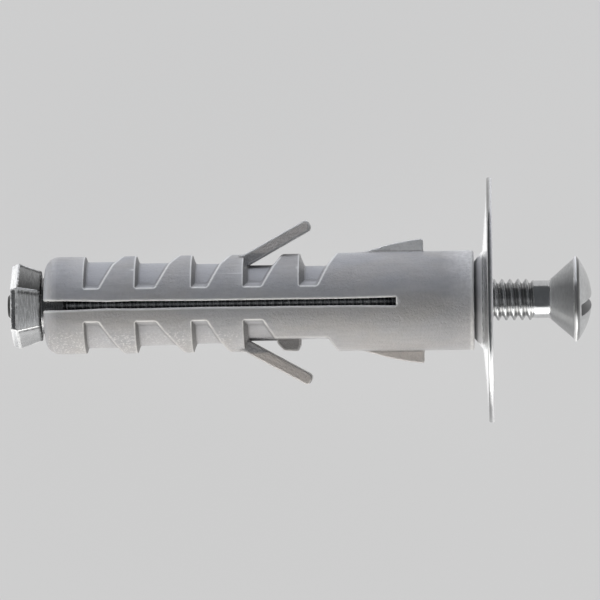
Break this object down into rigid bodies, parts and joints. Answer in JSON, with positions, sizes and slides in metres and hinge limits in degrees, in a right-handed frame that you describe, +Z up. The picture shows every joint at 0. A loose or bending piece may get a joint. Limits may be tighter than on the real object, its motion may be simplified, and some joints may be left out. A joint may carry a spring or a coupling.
{
  "type": "wall plug",
  "caption": "Nylon expansion plug with a slotted machine screw, a cone nut at its tip and a dished washer at its mouth, for anchoring things to a wall.",
  "frame": {"origin": "under the middle of the overall box, on the surface that the plug lies on", "axes": "+X the way the screw's head points, level; +Z up; the common axis rises towards the head, and the slit faces up and down"},
  "size_m": [0.0578, 0.0244, 0.0242],
  "materials": {
    "plug_nylon": "light grey moulded nylon, faintly mottled",
    "screw_steel": "bright zinc plate over turned steel",
    "nut_steel": "bright zinc plate over milled steel, fine marks on the flats",
    "washer_steel": "bright zinc plate over pressed sheet steel"
  },
  "bodies": {
    "plug": {"expansion_plug": "plug_nylon"},
    "screw": {"machine_screw": "screw_steel"},
    "nut": {"cone_nut": "nut_steel"},
    "washer": {"cup_washer": "washer_steel"}
  },
  "joints": [
    {"name": "screw_turn", "type": "hinge", "parent": "plug", "child": "screw", "pos_m": [0.01722, 0, 0.01181], "axis": [-0.9855, 0, -0.1698], "range_deg": [-720, 180]},
    {"name": "nut_travel", "type": "slide", "parent": "plug", "child": "nut", "axis": [0.9855, 0, 0.1698], "range_m": [-0.00159, 0.0004]},
    {"name": "washer_slide", "type": "slide", "parent": "plug", "child": "washer", "axis": [0.9855, 0, 0.1698], "range_m": [0, 0.00775]}
  ],
  "couplings": [
    {"joint": "screw_turn", "follows": "nut_travel", "rad_per_m": 7915.8}
  ]
}
